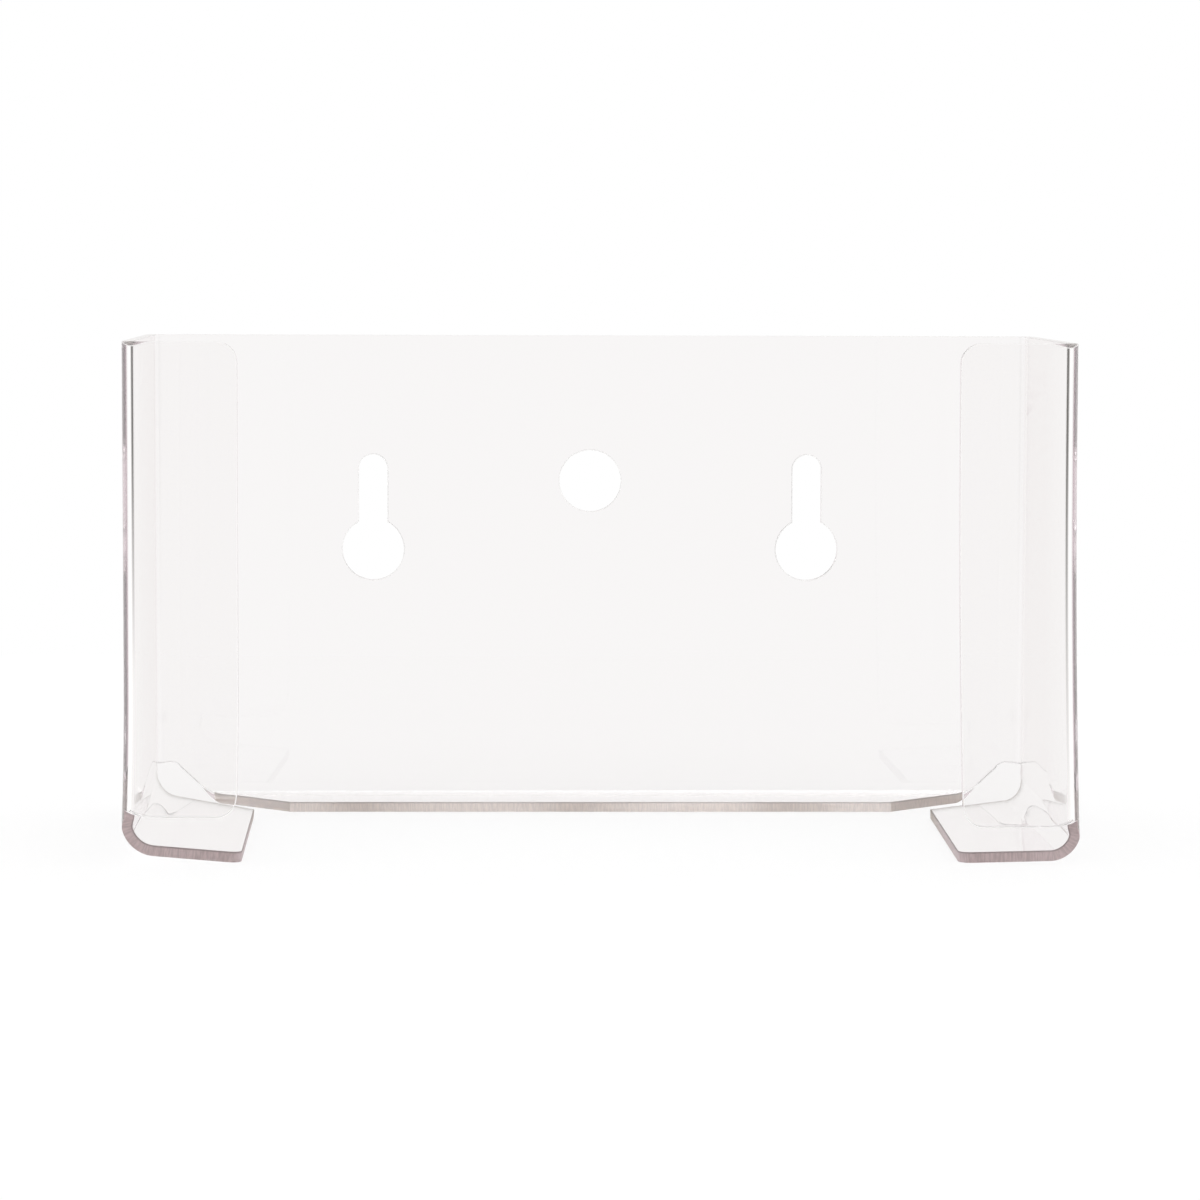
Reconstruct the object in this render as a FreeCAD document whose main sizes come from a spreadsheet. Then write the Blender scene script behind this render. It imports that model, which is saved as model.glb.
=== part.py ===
import FreeCAD, Part
import Sketcher
import os
from math import atan, cos, degrees, pi, radians, sin, sqrt, tan
from FreeCAD import Placement, Rotation, Vector

# Dispenser for a carton of face masks, bent from one sheet of clear plastic.
# Millimetres. X runs across the width, Y from the open front (-Y) to the back panel, Z up.
# The origin is on the surface the sheet stands on, below the middle of its outline.

doc = FreeCAD.newDocument("mask_dispenser")
sheet = doc.addObject("Spreadsheet::Sheet", "size")

drivingSizes = [
    ("sheet_thickness", 2.4),
    ("bend_inside_radius", 5.3),
    ("back_width", 216.0),
    ("front_width", 209.2),
    ("depth", 108.0),
    ("height", 115.3),
    # the two lips that hold the carton at the front
    ("front_opening", 158.3),
    ("lip_corner_radius", 4.6),
    ("left_lip_rise", 10.7),
    ("right_lip_rise", 8.6),
    # the tab that each side wall turns in under the carton
    ("tab_setback", 4.4),
    ("tab_reach", 26.5),
    ("left_tab_droop", 5.5),
    ("right_tab_droop", 1.6),
    ("left_tab_inside_radius", 6.4),
    ("right_tab_inside_radius", 4.6),
    ("tab_corner_radius", 1.5),
    ("tab_mitre_run", 20.9),
    # the shelf that the back panel turns forward
    ("shelf_level", 1.0),
    ("shelf_depth", 21.2),
    ("shelf_mitre_run", 27.4),
    # the relief cut where the three bends would meet
    ("corner_clearance", 0.15),
    ("relief_radius", 3.25),
    ("relief_drop", 1.2),
    # openings in the back panel
    ("centre_hole_diameter", 15.0),
    ("centre_hole_height", 79.8),
    ("keyhole_spacing", 106.0),
    ("keyhole_height", 63.0),
    ("keyhole_entry_diameter", 15.0),
    ("keyhole_slot_width", 7.0),
    ("keyhole_travel", 19.7),
]
for row, (alias, value) in enumerate(drivingSizes, start=1):
    sheet.set(f"A{row}", alias.replace("_", " "))
    sheet.set(f"B{row}", str(value))
    sheet.setAlias(f"B{row}", alias)
doc.recompute()


def size(alias):
    return float(sheet.get(alias))


thickness = size("sheet_thickness")
insideRadius = size("bend_inside_radius")
outsideRadius = insideRadius + thickness
neutralRadius = insideRadius + thickness / 2
depth = size("depth")
toeIn = (size("back_width") - size("front_width")) / 2 / depth
overcut = 0.5
lead = 1.0
back = depth / 2
backCorner = size("back_width") / 2
frontCorner = size("front_width") / 2
cornerTangent = outsideRadius * tan((pi / 2 + atan(toeIn)) / 2)
root = backCorner - cornerTangent - size("corner_clearance")
tabEnd = back - (cornerTangent + size("corner_clearance")) * cos(atan(toeIn))
shelfBottom = size("shelf_level")
axisHeight = shelfBottom + outsideRadius
reliefLevel = axisHeight - size("relief_drop")

# the same values in the words that the expressions use
outsideText = "(size.bend_inside_radius + size.sheet_thickness)"
neutralText = "(size.bend_inside_radius + size.sheet_thickness / 2)"
toeText = "atan((size.back_width - size.front_width) / 2 / size.depth)"
cornerText = f"({outsideText} * tan((90 deg + {toeText}) / 2) + size.corner_clearance)"
rootText = f"(size.back_width / 2 - {cornerText})"
tabEndText = f"(size.depth / 2 - {cornerText} * cos({toeText}))"
reliefLevelText = f"(size.shelf_level + {outsideText} - size.relief_drop)"


def bind(item, **expressions):
    for name, expression in expressions.items():
        item.setExpression(name.replace("__", "."), expression)


def originPlane(body, role):
    return next(item for item in body.Origin.OriginFeatures if item.Role == role)


def newSketch(body, name, role, offset=Vector(0, 0, 0)):
    sketch = body.newObject("Sketcher::SketchObject", name)
    sketch.AttachmentSupport = [(originPlane(body, role), "")]
    sketch.MapMode = "FlatFace"
    sketch.AttachmentOffset = Placement(offset, Rotation())
    return sketch


def closedOutline(sketch, corners):
    """Draw a closed polygon, one line from each corner to the next."""
    count = len(corners)
    for index, (x, y) in enumerate(corners):
        nextX, nextY = corners[(index + 1) % count]
        sketch.addGeometry(Part.LineSegment(Vector(x, y, 0), Vector(nextX, nextY, 0)), False)
    for index in range(count):
        sketch.addConstraint(Sketcher.Constraint("Coincident", index, 2, (index + 1) % count, 1))


def keep(sketch, kind, *items):
    sketch.addConstraint(Sketcher.Constraint(kind, *items))


def drive(sketch, kind, items, value, expression):
    """Add a dimension and bind it to the sheet. A negative place is measured from its point."""
    index = sketch.addConstraint(Sketcher.Constraint(kind, *items, value))
    sketch.setExpression(f"Constraints[{index}]", expression)


def placePoint(sketch, axis, line, point, value, expression):
    """Set a line end's distance from the sketch origin along one axis."""
    if value < 0:
        drive(sketch, axis, (line, point, -1, 1), -value, f"-({expression})")
    else:
        drive(sketch, axis, (-1, 1, line, point), value, expression)


def edgesWhere(shape, test):
    return [f"Edge{number}" for number, edge in enumerate(shape.Edges, start=1) if test(edge)]


def isAlong(edge, direction):
    if not isinstance(edge.Curve, Part.Line):
        return False
    return abs(abs(edge.Curve.Direction.dot(direction)) - 1) < 1e-6


def near(edge, x=None, y=None, z=None, gap=0.01):
    centre = edge.CenterOfMass
    wanted = ((centre.x, x), (centre.y, y), (centre.z, z))
    return all(goal is None or abs(value - goal) < gap for value, goal in wanted)


def roundEdges(body, name, base, edges, radiusText):
    fillet = body.newObject("PartDesign::Fillet", name)
    fillet.Base = (base, edges)
    bind(fillet, Radius=radiusText)
    doc.recompute()
    return fillet


def halfPlan(body, name, side):
    """Square cornered plan of one side: the corner of the back panel, the wall and its lip."""
    halfBack, halfFront = size("back_width") / 2, size("front_width") / 2
    lipEnd, back = size("front_opening") / 2, depth / 2
    sketch = newSketch(body, name + "_outline", "XY_Plane", Vector(0, 0, reliefLevel))
    bind(sketch, AttachmentOffset__Base__z=reliefLevelText)
    closedOutline(sketch, [
        (side * root, back), (side * halfBack, back), (side * halfFront, -back), (side * lipEnd, -back),
        (side * lipEnd, -back + thickness), (side * (halfFront - thickness), -back + thickness),
        (side * (halfBack - thickness), back - thickness), (side * root, back - thickness)])
    backFace, wall, lip, lipCut, lipInner, wallInner, backInner, joint = range(8)
    for line in (backFace, lip, lipInner, backInner):
        keep(sketch, "Horizontal", line)
    for line in (lipCut, joint):
        keep(sketch, "Vertical", line)
    keep(sketch, "Parallel", wall, wallInner)
    placePoint(sketch, "DistanceX", backFace, 1, side * root, f"{side} * {rootText}")
    placePoint(sketch, "DistanceY", backFace, 1, back, "size.depth / 2")
    placePoint(sketch, "DistanceX", wall, 1, side * halfBack, f"{side} * size.back_width / 2")
    placePoint(sketch, "DistanceX", lip, 1, side * halfFront, f"{side} * size.front_width / 2")
    placePoint(sketch, "DistanceY", lip, 1, -back, "-size.depth / 2")
    placePoint(sketch, "DistanceX", lip, 2, side * lipEnd, f"{side} * size.front_opening / 2")
    drive(sketch, "DistanceY", (lipCut, 1, lipCut, 2), thickness, "size.sheet_thickness")
    drive(sketch, "DistanceY", (joint, 1, joint, 2), thickness, "size.sheet_thickness")
    drive(sketch, "Distance", (wallInner, 1, wall), thickness, "size.sheet_thickness")
    pad = body.newObject("PartDesign::Pad", name)
    pad.Profile = sketch
    bind(pad, Length=f"size.height - {reliefLevelText}")
    doc.recompute()
    return pad


def lowerEdge(body, name, side, riseAlias):
    """Lift the lower edge of a wall and its lip, ahead of the corner relief."""
    sketch = newSketch(body, name + "_outline", "YZ_Plane")
    ahead, behind = -back - overcut, tabEnd
    low, high = reliefLevel - overcut, size(riseAlias)
    closedOutline(sketch, [(ahead, low), (behind, low), (behind, high), (ahead, high)])
    for line in (0, 2):
        keep(sketch, "Horizontal", line)
    for line in (1, 3):
        keep(sketch, "Vertical", line)
    placePoint(sketch, "DistanceX", 0, 1, ahead, f"-size.depth / 2 - {overcut}")
    placePoint(sketch, "DistanceX", 1, 1, behind, tabEndText)
    placePoint(sketch, "DistanceY", 0, 1, low, f"{reliefLevelText} - {overcut}")
    placePoint(sketch, "DistanceY", 2, 1, high, f"size.{riseAlias}")
    return cutPocket(body, name, sketch, side > 0)


def cutPocket(body, name, sketch, reversed_=False, lengthText=None):
    pocket = body.newObject("PartDesign::Pocket", name)
    pocket.Profile = sketch
    pocket.Reversed = reversed_
    if lengthText:
        bind(pocket, Length=lengthText)
    else:
        pocket.Type = "ThroughAll"
    before = pocket.BaseFeature.Shape.Volume
    doc.recompute()
    if pocket.Shape.Volume >= before - 1e-6:
        raise RuntimeError(name + " removes nothing")
    return pocket


def wrapCut(body, name, sketch, axis, runText, turnText, leftHanded, backwards):
    """Cut the end of a bend along a mitre that was straight before the sheet was bent."""
    helix = body.newObject("PartDesign::SubtractiveHelix", name)
    helix.Profile = sketch
    helix.ReferenceAxis = (sketch, [axis])
    helix.Mode = "pitch-turns-angle"
    helix.Tolerance = 0.0001
    helix.LeftHanded = leftHanded
    helix.Reversed = backwards
    bind(helix, Pitch=f"({runText}) / ({turnText})", Turns=turnText)
    before = helix.BaseFeature.Shape.Volume
    doc.recompute()
    if helix.Shape.Volume >= before - 1e-6:
        raise RuntimeError(name + " removes nothing")
    return helix


def mirrorCuts(body, name, cuts):
    """Repeat cuts on the other side of the middle plane."""
    mirrored = body.newObject("PartDesign::Mirrored", name)
    mirrored.Originals = cuts
    mirrored.MirrorPlane = (originPlane(body, "YZ_Plane"), [""])
    body.Tip = mirrored
    before = cuts[-1].Shape.Volume
    doc.recompute()
    if mirrored.Shape.Volume >= before - 1e-6:
        raise RuntimeError(name + " removes nothing")
    return mirrored


# Back panel and shelf: one upright leg, a bend and a flat flange to the front.
sheetBody = doc.addObject("PartDesign::Body", "wrap")
shelfFront = back - size("shelf_depth")
top = size("height")
profile = newSketch(sheetBody, "back_profile", "YZ_Plane")
closedOutline(profile, [
    (back, top), (back, shelfBottom), (shelfFront, shelfBottom), (shelfFront, shelfBottom + thickness),
    (back - thickness, shelfBottom + thickness), (back - thickness, top)])
for line in (0, 2, 4):
    keep(profile, "Vertical", line)
for line in (1, 3, 5):
    keep(profile, "Horizontal", line)
placePoint(profile, "DistanceX", 0, 1, back, "size.depth / 2")
placePoint(profile, "DistanceY", 0, 1, top, "size.height")
placePoint(profile, "DistanceY", 0, 2, shelfBottom, "size.shelf_level")
drive(profile, "DistanceX", (1, 2, 1, 1), size("shelf_depth"), "size.shelf_depth")
drive(profile, "DistanceY", (2, 1, 2, 2), thickness, "size.sheet_thickness")
drive(profile, "DistanceX", (5, 1, 5, 2), thickness, "size.sheet_thickness")
backPanel = sheetBody.newObject("PartDesign::Pad", "back_panel")
backPanel.Profile = profile
backPanel.SideType = "Symmetric"
bind(backPanel, Length=f"2 * {rootText}")
doc.recompute()
across = Vector(1, 0, 0)
edges = edgesWhere(backPanel.Shape, lambda edge: isAlong(edge, across) and near(edge, y=back, z=shelfBottom))
bend = roundEdges(sheetBody, "shelf_bend_outside", backPanel, edges, outsideText)
edges = edgesWhere(bend.Shape, lambda edge: isAlong(edge, across)
                   and near(edge, y=back - thickness, z=shelfBottom + thickness))
bend = roundEdges(sheetBody, "shelf_bend_inside", bend, edges, "size.bend_inside_radius")

# Mitred ends of the shelf. Each was one straight cut across the flat sheet, so it winds round the bend.
shelfDeveloped = neutralRadius * pi / 2 + size("shelf_depth") - outsideRadius
shelfDevelopedText = f"({neutralText} * pi / 2 + size.shelf_depth - {outsideText})"
bendRun = size("shelf_mitre_run") * neutralRadius * pi / 2 / shelfDeveloped
bendRunText = f"size.shelf_mitre_run * {neutralText} * pi / 2 / {shelfDevelopedText}"
cutter = newSketch(sheetBody, "shelf_wrap_outline", "XY_Plane", Vector(0, back - outsideRadius, axisHeight))
bind(cutter, AttachmentOffset__Base__y=f"size.depth / 2 - {outsideText}",
     AttachmentOffset__Base__z=f"size.shelf_level + {outsideText}")
far = -(root + size("shelf_mitre_run"))
low, high = insideRadius - overcut, outsideRadius + overcut
closedOutline(cutter, [(-root, low), (far, low), (far, high), (-root, high)])
for line in (0, 2):
    keep(cutter, "Horizontal", line)
for line in (1, 3):
    keep(cutter, "Vertical", line)
placePoint(cutter, "DistanceX", 0, 1, -root, f"-{rootText}")
placePoint(cutter, "DistanceX", 0, 2, far, f"-({rootText} + size.shelf_mitre_run)")
placePoint(cutter, "DistanceY", 0, 1, low, f"size.bend_inside_radius - {overcut}")
placePoint(cutter, "DistanceY", 2, 1, high, f"{outsideText} + {overcut}")
shelfWrap = wrapCut(sheetBody, "shelf_wrap", cutter, "H_Axis", bendRunText, "0.25", True, False)

corner = newSketch(sheetBody, "shelf_mitre_outline", "XY_Plane")
start, end = -(root - bendRun), -(root - size("shelf_mitre_run"))
bendEnd, outer = back - outsideRadius, -(root + overcut)
closedOutline(corner, [(start, bendEnd), (end, shelfFront), (end, shelfFront - overcut),
                       (outer, shelfFront - overcut), (outer, bendEnd + lead), (start - 3 * lead, bendEnd + lead)])
keep(corner, "Vertical", 1)
keep(corner, "Horizontal", 2)
keep(corner, "Vertical", 3)
keep(corner, "Horizontal", 4)
placePoint(corner, "DistanceX", 0, 1, start, f"-({rootText} - {bendRunText})")
placePoint(corner, "DistanceY", 0, 1, bendEnd, f"size.depth / 2 - {outsideText}")
placePoint(corner, "DistanceX", 0, 2, end, f"-({rootText} - size.shelf_mitre_run)")
placePoint(corner, "DistanceY", 0, 2, shelfFront, "size.depth / 2 - size.shelf_depth")
drive(corner, "DistanceY", (1, 2, 1, 1), overcut, f"{overcut}")
placePoint(corner, "DistanceX", 3, 1, outer, f"-({rootText} + {overcut})")
drive(corner, "DistanceX", (4, 2, 0, 1), 3 * lead, f"{3 * lead}")
drive(corner, "DistanceY", (0, 1, 4, 2), lead, f"{lead}")
shelfMitre = cutPocket(sheetBody, "shelf_mitre", corner, True,
                       f"size.shelf_level + size.sheet_thickness + {overcut}")
mirrorCuts(sheetBody, "shelf_mitres", [shelfWrap, shelfMitre])

# Side walls and lips. The lips end at different heights above the surface.
halfPlan(sheetBody, "left_wall", -1)
plain = halfPlan(sheetBody, "right_wall", 1)
upright = Vector(0, 0, 1)
wallSlant = sqrt(1 + toeIn ** 2)
innerBack = backCorner - thickness * (wallSlant + toeIn)
innerFront = frontCorner - thickness * (wallSlant - toeIn)
outside = edgesWhere(plain.Shape, lambda edge: isAlong(edge, upright) and (
    abs(abs(edge.CenterOfMass.x) - backCorner) < 0.01 or abs(abs(edge.CenterOfMass.x) - frontCorner) < 0.01))
rounded = roundEdges(sheetBody, "outside_bends", plain, outside, outsideText)
inside = edgesWhere(rounded.Shape, lambda edge: isAlong(edge, upright) and (
    abs(abs(edge.CenterOfMass.x) - innerBack) < 0.05 or abs(abs(edge.CenterOfMass.x) - innerFront) < 0.05))
rounded = roundEdges(sheetBody, "inside_bends", rounded, inside, "size.bend_inside_radius")
lowerEdge(sheetBody, "left_lower_edge", -1, "left_lip_rise")
lifted = lowerEdge(sheetBody, "right_lower_edge", 1, "right_lip_rise")
lipEnds = edgesWhere(lifted.Shape, lambda edge: isAlong(edge, Vector(0, 1, 0))
                     and abs(abs(edge.CenterOfMass.x) - size("front_opening") / 2) < 0.01)
roundEdges(sheetBody, "lip_corners", lifted, lipEnds, "size.lip_corner_radius")

# Openings in the back panel: a round hole between two keyholes that hang on screw heads.
holes = newSketch(sheetBody, "round_hole_outlines", "XZ_Plane")
halfSpacing = size("keyhole_spacing") / 2
rounds = ((0, "centre_hole_height", "centre_hole_diameter"), (-1, "keyhole_height", "keyhole_entry_diameter"),
          (1, "keyhole_height", "keyhole_entry_diameter"))
for index, (side, heightAlias, diameterAlias) in enumerate(rounds):
    holes.addGeometry(Part.Circle(Vector(side * halfSpacing, size(heightAlias), 0), Vector(0, 0, 1),
                                  size(diameterAlias) / 2), False)
    drive(holes, "Diameter", (index,), size(diameterAlias), f"size.{diameterAlias}")
    placePoint(holes, "DistanceY", index, 3, size(heightAlias), f"size.{heightAlias}")
    if side == 0:
        keep(holes, "PointOnObject", index, 3, -2)
    else:
        placePoint(holes, "DistanceX", index, 3, side * halfSpacing, f"{side} * size.keyhole_spacing / 2")
cutPocket(sheetBody, "round_holes", holes)

slots = newSketch(sheetBody, "hanging_slot_outlines", "XZ_Plane")
slotRadius = size("keyhole_slot_width") / 2
slotLow = size("keyhole_height")
slotHigh = slotLow + size("keyhole_travel")
for order, side in enumerate((-1, 1)):
    centre, first = side * halfSpacing, 4 * order
    slots.addGeometry(Part.ArcOfCircle(Part.Circle(Vector(centre, slotHigh, 0), Vector(0, 0, 1), slotRadius),
                                       0, pi), False)
    slots.addGeometry(Part.LineSegment(Vector(centre - slotRadius, slotHigh, 0),
                                       Vector(centre - slotRadius, slotLow, 0)), False)
    slots.addGeometry(Part.ArcOfCircle(Part.Circle(Vector(centre, slotLow, 0), Vector(0, 0, 1), slotRadius),
                                       pi, 2 * pi), False)
    slots.addGeometry(Part.LineSegment(Vector(centre + slotRadius, slotLow, 0),
                                       Vector(centre + slotRadius, slotHigh, 0)), False)
    for line in range(4):
        keep(slots, "Tangent", first + line, 2, first + (line + 1) % 4, 1)
    keep(slots, "Vertical", first + 1)
    drive(slots, "Radius", (first,), slotRadius, "size.keyhole_slot_width / 2")
    placePoint(slots, "DistanceX", first, 3, centre, f"{side} * size.keyhole_spacing / 2")
    placePoint(slots, "DistanceY", first, 3, slotHigh, "size.keyhole_height + size.keyhole_travel")
    placePoint(slots, "DistanceY", first + 2, 3, slotLow, "size.keyhole_height")
cutPocket(sheetBody, "hanging_slots", slots)


def tabBody(side, sideName):
    """The lower edge of a side wall and the tab bent in from it, square to the wall.

    Its own frame has the wall's outer face at x = 0 and the tab's cut front edge at y = 0.
    """
    droop = radians(size(sideName + "_tab_droop"))
    rise = size(sideName + "_lip_rise")
    reach = size("tab_reach")
    innerRadius = size(sideName + "_tab_inside_radius")
    outerRadius = innerRadius + thickness
    neutral = innerRadius + thickness / 2
    innerText = f"size.{sideName}_tab_inside_radius"
    outerText = f"({innerText} + size.sheet_thickness)"
    droopText = f"size.{sideName}_tab_droop * 1 deg"
    bendTurn = pi / 2 - droop
    turnText = f"(90 - size.{sideName}_tab_droop)"
    squareCorner = reach * tan(droop)
    tangent = squareCorner + outerRadius * tan(bendTurn / 2)
    tangentText = f"size.tab_reach * tan({droopText}) + {outerText} * tan({turnText} / 2 * 1 deg)"
    setback = size("tab_setback")
    length = (depth - setback) / cos(atan(toeIn)) - cornerTangent - size("corner_clearance")
    lengthText = f"((size.depth - size.tab_setback) / cos({toeText}) - {cornerText})"

    body = doc.addObject("PartDesign::Body", sideName + "_tab")
    section = newSketch(body, sideName + "_tab_profile", "XZ_Plane")
    upper = (-side * (reach + thickness * sin(droop)), thickness * cos(droop))
    inner = (-side * thickness, squareCorner - thickness * tan(droop) + thickness / cos(droop))
    closedOutline(section, [(0, rise), (0, squareCorner), (-side * reach, 0), upper, inner,
                            (-side * thickness, rise)])
    keep(section, "Vertical", 0)
    keep(section, "Vertical", 4)
    keep(section, "Horizontal", 5)
    keep(section, "Parallel", 1, 3)
    keep(section, "Perpendicular", 1, 2)
    keep(section, "PointOnObject", 0, 1, -2)
    keep(section, "PointOnObject", 2, 1, -1)
    placePoint(section, "DistanceY", 0, 1, rise, f"size.{sideName}_lip_rise")
    placePoint(section, "DistanceY", 0, 2, squareCorner, f"size.tab_reach * tan({droopText})")
    placePoint(section, "DistanceX", 2, 1, -side * reach, f"{-side} * size.tab_reach")
    drive(section, "Distance", (2, 1, 2, 2), thickness, "size.sheet_thickness")
    placePoint(section, "DistanceX", 5, 1, -side * thickness, f"{-side} * size.sheet_thickness")
    pad = body.newObject("PartDesign::Pad", sideName + "_tab_sheet")
    pad.Profile = section
    pad.Reversed = True
    bind(pad, Length=f"{lengthText} + {overcut}")
    doc.recompute()

    along = Vector(0, 1, 0)
    found = edgesWhere(pad.Shape, lambda edge: isAlong(edge, along) and near(edge, x=0, z=squareCorner))
    tab = roundEdges(body, sideName + "_tab_bend_outside", pad, found, outerText)
    found = edgesWhere(tab.Shape, lambda edge: isAlong(edge, along) and near(edge, x=inner[0], z=inner[1]))
    tab = roundEdges(body, sideName + "_tab_bend_inside", tab, found, innerText)

    # The mitre at the rear, straight across the flat sheet.
    flat = reach / cos(droop) - outerRadius * tan(bendTurn / 2)
    flatText = f"(size.tab_reach / cos({droopText}) - {outerText} * tan({turnText} / 2 * 1 deg))"
    developed = neutral * bendTurn + flat
    bendLengthText = f"(({innerText} + size.sheet_thickness / 2) * pi * {turnText} / 180)"
    run = size("tab_mitre_run") * neutral * bendTurn / developed
    runText = f"size.tab_mitre_run * {bendLengthText} / ({bendLengthText} + {flatText})"
    cutter = newSketch(body, sideName + "_tab_wrap_outline", "XY_Plane", Vector(-side * outerRadius, 0, tangent))
    bind(cutter, AttachmentOffset__Base__x=f"{-side} * {outerText}", AttachmentOffset__Base__z=tangentText)
    low, high = side * (innerRadius - overcut), side * (outerRadius + overcut)
    far = length + size("tab_mitre_run")
    closedOutline(cutter, [(low, length), (high, length), (high, far), (low, far)])
    for line in (0, 2):
        keep(cutter, "Horizontal", line)
    for line in (1, 3):
        keep(cutter, "Vertical", line)
    placePoint(cutter, "DistanceX", 0, 1, low, f"{side} * ({innerText} - {overcut})")
    placePoint(cutter, "DistanceX", 0, 2, high, f"{side} * ({outerText} + {overcut})")
    placePoint(cutter, "DistanceY", 0, 1, length, lengthText)
    placePoint(cutter, "DistanceY", 1, 2, far, f"{lengthText} + size.tab_mitre_run")
    wrapCut(body, sideName + "_tab_wrap", cutter, "V_Axis", runText, f"{turnText} / 360", side > 0, True)

    mitre = newSketch(body, sideName + "_tab_mitre_outline", "XY_Plane")
    mitre.AttachmentOffset = Placement(Vector(0, 0, squareCorner), Rotation(Vector(0, -side, 0), degrees(droop)))
    bind(mitre, AttachmentOffset__Base__z=f"size.tab_reach * tan({droopText})",
         AttachmentOffset__Rotation__Angle=droopText)
    start, startText = outerRadius * tan(bendTurn / 2), f"{outerText} * tan({turnText} / 2 * 1 deg)"
    end, endText = reach / cos(droop), f"size.tab_reach / cos({droopText})"
    cornerY = length - size("tab_mitre_run")
    closedOutline(mitre, [(-side * start, length - run), (-side * end, cornerY),
                          (-side * (end + overcut), cornerY), (-side * (end + overcut), length + 2 * overcut),
                          (-side * (start - lead), length + 2 * overcut),
                          (-side * (start - lead), length - run + 3 * lead)])
    keep(mitre, "Horizontal", 1)
    keep(mitre, "Vertical", 2)
    keep(mitre, "Horizontal", 3)
    keep(mitre, "Vertical", 4)
    placePoint(mitre, "DistanceX", 4, 1, -side * (start - lead), f"{-side} * ({startText} - {lead})")
    drive(mitre, "DistanceY", (0, 1, 4, 2), 3 * lead, f"{3 * lead}")
    placePoint(mitre, "DistanceX", 0, 1, -side * start, f"{-side} * {startText}")
    placePoint(mitre, "DistanceY", 0, 1, length - run, f"{lengthText} - {runText}")
    placePoint(mitre, "DistanceX", 0, 2, -side * end, f"{-side} * {endText}")
    placePoint(mitre, "DistanceY", 0, 2, cornerY, f"{lengthText} - size.tab_mitre_run")
    placePoint(mitre, "DistanceX", 2, 1, -side * (end + overcut), f"{-side} * ({endText} + {overcut})")
    placePoint(mitre, "DistanceY", 3, 1, length + 2 * overcut, f"{lengthText} + 2 * {overcut}")
    tab = cutPocket(body, sideName + "_tab_mitre", mitre, True)

    found = edgesWhere(tab.Shape, lambda edge: edge.BoundBox.YMax < 0.01 and edge.BoundBox.XLength < thickness
                       and abs(edge.CenterOfMass.x + side * reach) < thickness / 2)
    roundEdges(body, sideName + "_tab_corner", tab, found, "size.tab_corner_radius")

    turn = -side * degrees(atan(toeIn))
    body.Placement = Placement(Vector(side * (frontCorner + toeIn * setback), -back + setback, 0),
                               Rotation(Vector(0, 0, 1), turn))
    bind(body, Placement=(
        f"placement(vector({side} * (size.front_width / 2 + size.tab_setback * tan({toeText})); "
        f"size.tab_setback - size.depth / 2; 0); rotation(vector(0; 0; 1); {-side} * {toeText}))"))
    return body


tabs = [tabBody(-1, "left"), tabBody(1, "right")]

# Relief at the two back corners: round at the back panel, square where it runs out round the corner bend.
reliefBody = doc.addObject("PartDesign::Body", "corner_relief")
reliefRadius = size("relief_radius")
reliefInset = sqrt(reliefRadius ** 2 - size("relief_drop") ** 2)
reliefX = root + reliefInset
reliefText = f"({rootText} + sqrt(size.relief_radius ^ 2 - size.relief_drop ^ 2))"
outline = newSketch(reliefBody, "relief_outline", "XZ_Plane", Vector(0, 0, -back - overcut))
bind(outline, AttachmentOffset__Base__z=f"-size.depth / 2 - {overcut}")
beyond = backCorner + overcut
outline.addGeometry(Part.ArcOfCircle(Part.Circle(Vector(reliefX, reliefLevel, 0), Vector(0, 0, 1),
                                                 reliefRadius), pi / 2, pi), False)
for first, second in (((reliefX - reliefRadius, reliefLevel), (reliefX - reliefRadius, -overcut)),
                      ((reliefX - reliefRadius, -overcut), (beyond, -overcut)),
                      ((beyond, -overcut), (beyond, reliefLevel + reliefRadius)),
                      ((beyond, reliefLevel + reliefRadius), (reliefX, reliefLevel + reliefRadius))):
    outline.addGeometry(Part.LineSegment(Vector(*first, 0), Vector(*second, 0)), False)
keep(outline, "Tangent", 0, 2, 1, 1)
keep(outline, "Tangent", 4, 2, 0, 1)
for line in (1, 2, 3):
    keep(outline, "Coincident", line, 2, line + 1, 1)
keep(outline, "Vertical", 1)
keep(outline, "Horizontal", 2)
keep(outline, "Vertical", 3)
keep(outline, "Horizontal", 4)
drive(outline, "Radius", (0,), reliefRadius, "size.relief_radius")
placePoint(outline, "DistanceX", 0, 3, reliefX, reliefText)
placePoint(outline, "DistanceY", 0, 3, reliefLevel, reliefLevelText)
placePoint(outline, "DistanceX", 2, 2, beyond, f"size.back_width / 2 + {overcut}")
placePoint(outline, "DistanceY", 2, 1, -overcut, f"-{overcut}")
relief = reliefBody.newObject("PartDesign::Pad", "relief_cutter")
relief.Profile = outline
bind(relief, Length=f"{cornerText} * cos({toeText}) + {overcut}")
doc.recompute()
reliefPair = reliefBody.newObject("PartDesign::Mirrored", "relief_cutters")
reliefPair.Originals = [relief]
reliefPair.MirrorPlane = (originPlane(reliefBody, "YZ_Plane"), [""])
reliefBody.Tip = reliefPair
doc.recompute()

# The whole sheet is one solid.
joined = sheetBody
for tab, name in zip(tabs, ("left_joined_sheet", "joined_sheet")):
    fuse = doc.addObject("Part::Fuse", name)
    fuse.Base = joined
    fuse.Tool = tab
    fuse.Refine = True
    joined = fuse
dispenser = doc.addObject("Part::Cut", "dispenser_sheet")
dispenser.Base = joined
dispenser.Tool = reliefBody
dispenser.Refine = True
dispenser.Label = "dispenser_sheet"
doc.recompute()

for item in doc.Objects:
    if "Invalid" in item.State or "Error" in item.State:
        raise RuntimeError(f"{item.Name}: {item.State}")
shape = dispenser.Shape
if shape.isNull() or not shape.isValid() or len(shape.Solids) != 1:
    raise RuntimeError("the sheet is not one valid solid")
print("sheet volume", round(shape.Volume, 1), "faces", len(shape.Faces), shape.BoundBox)

os.makedirs("parts", exist_ok=True)
shape.exportStep("parts/dispenser_sheet.step")
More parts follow.
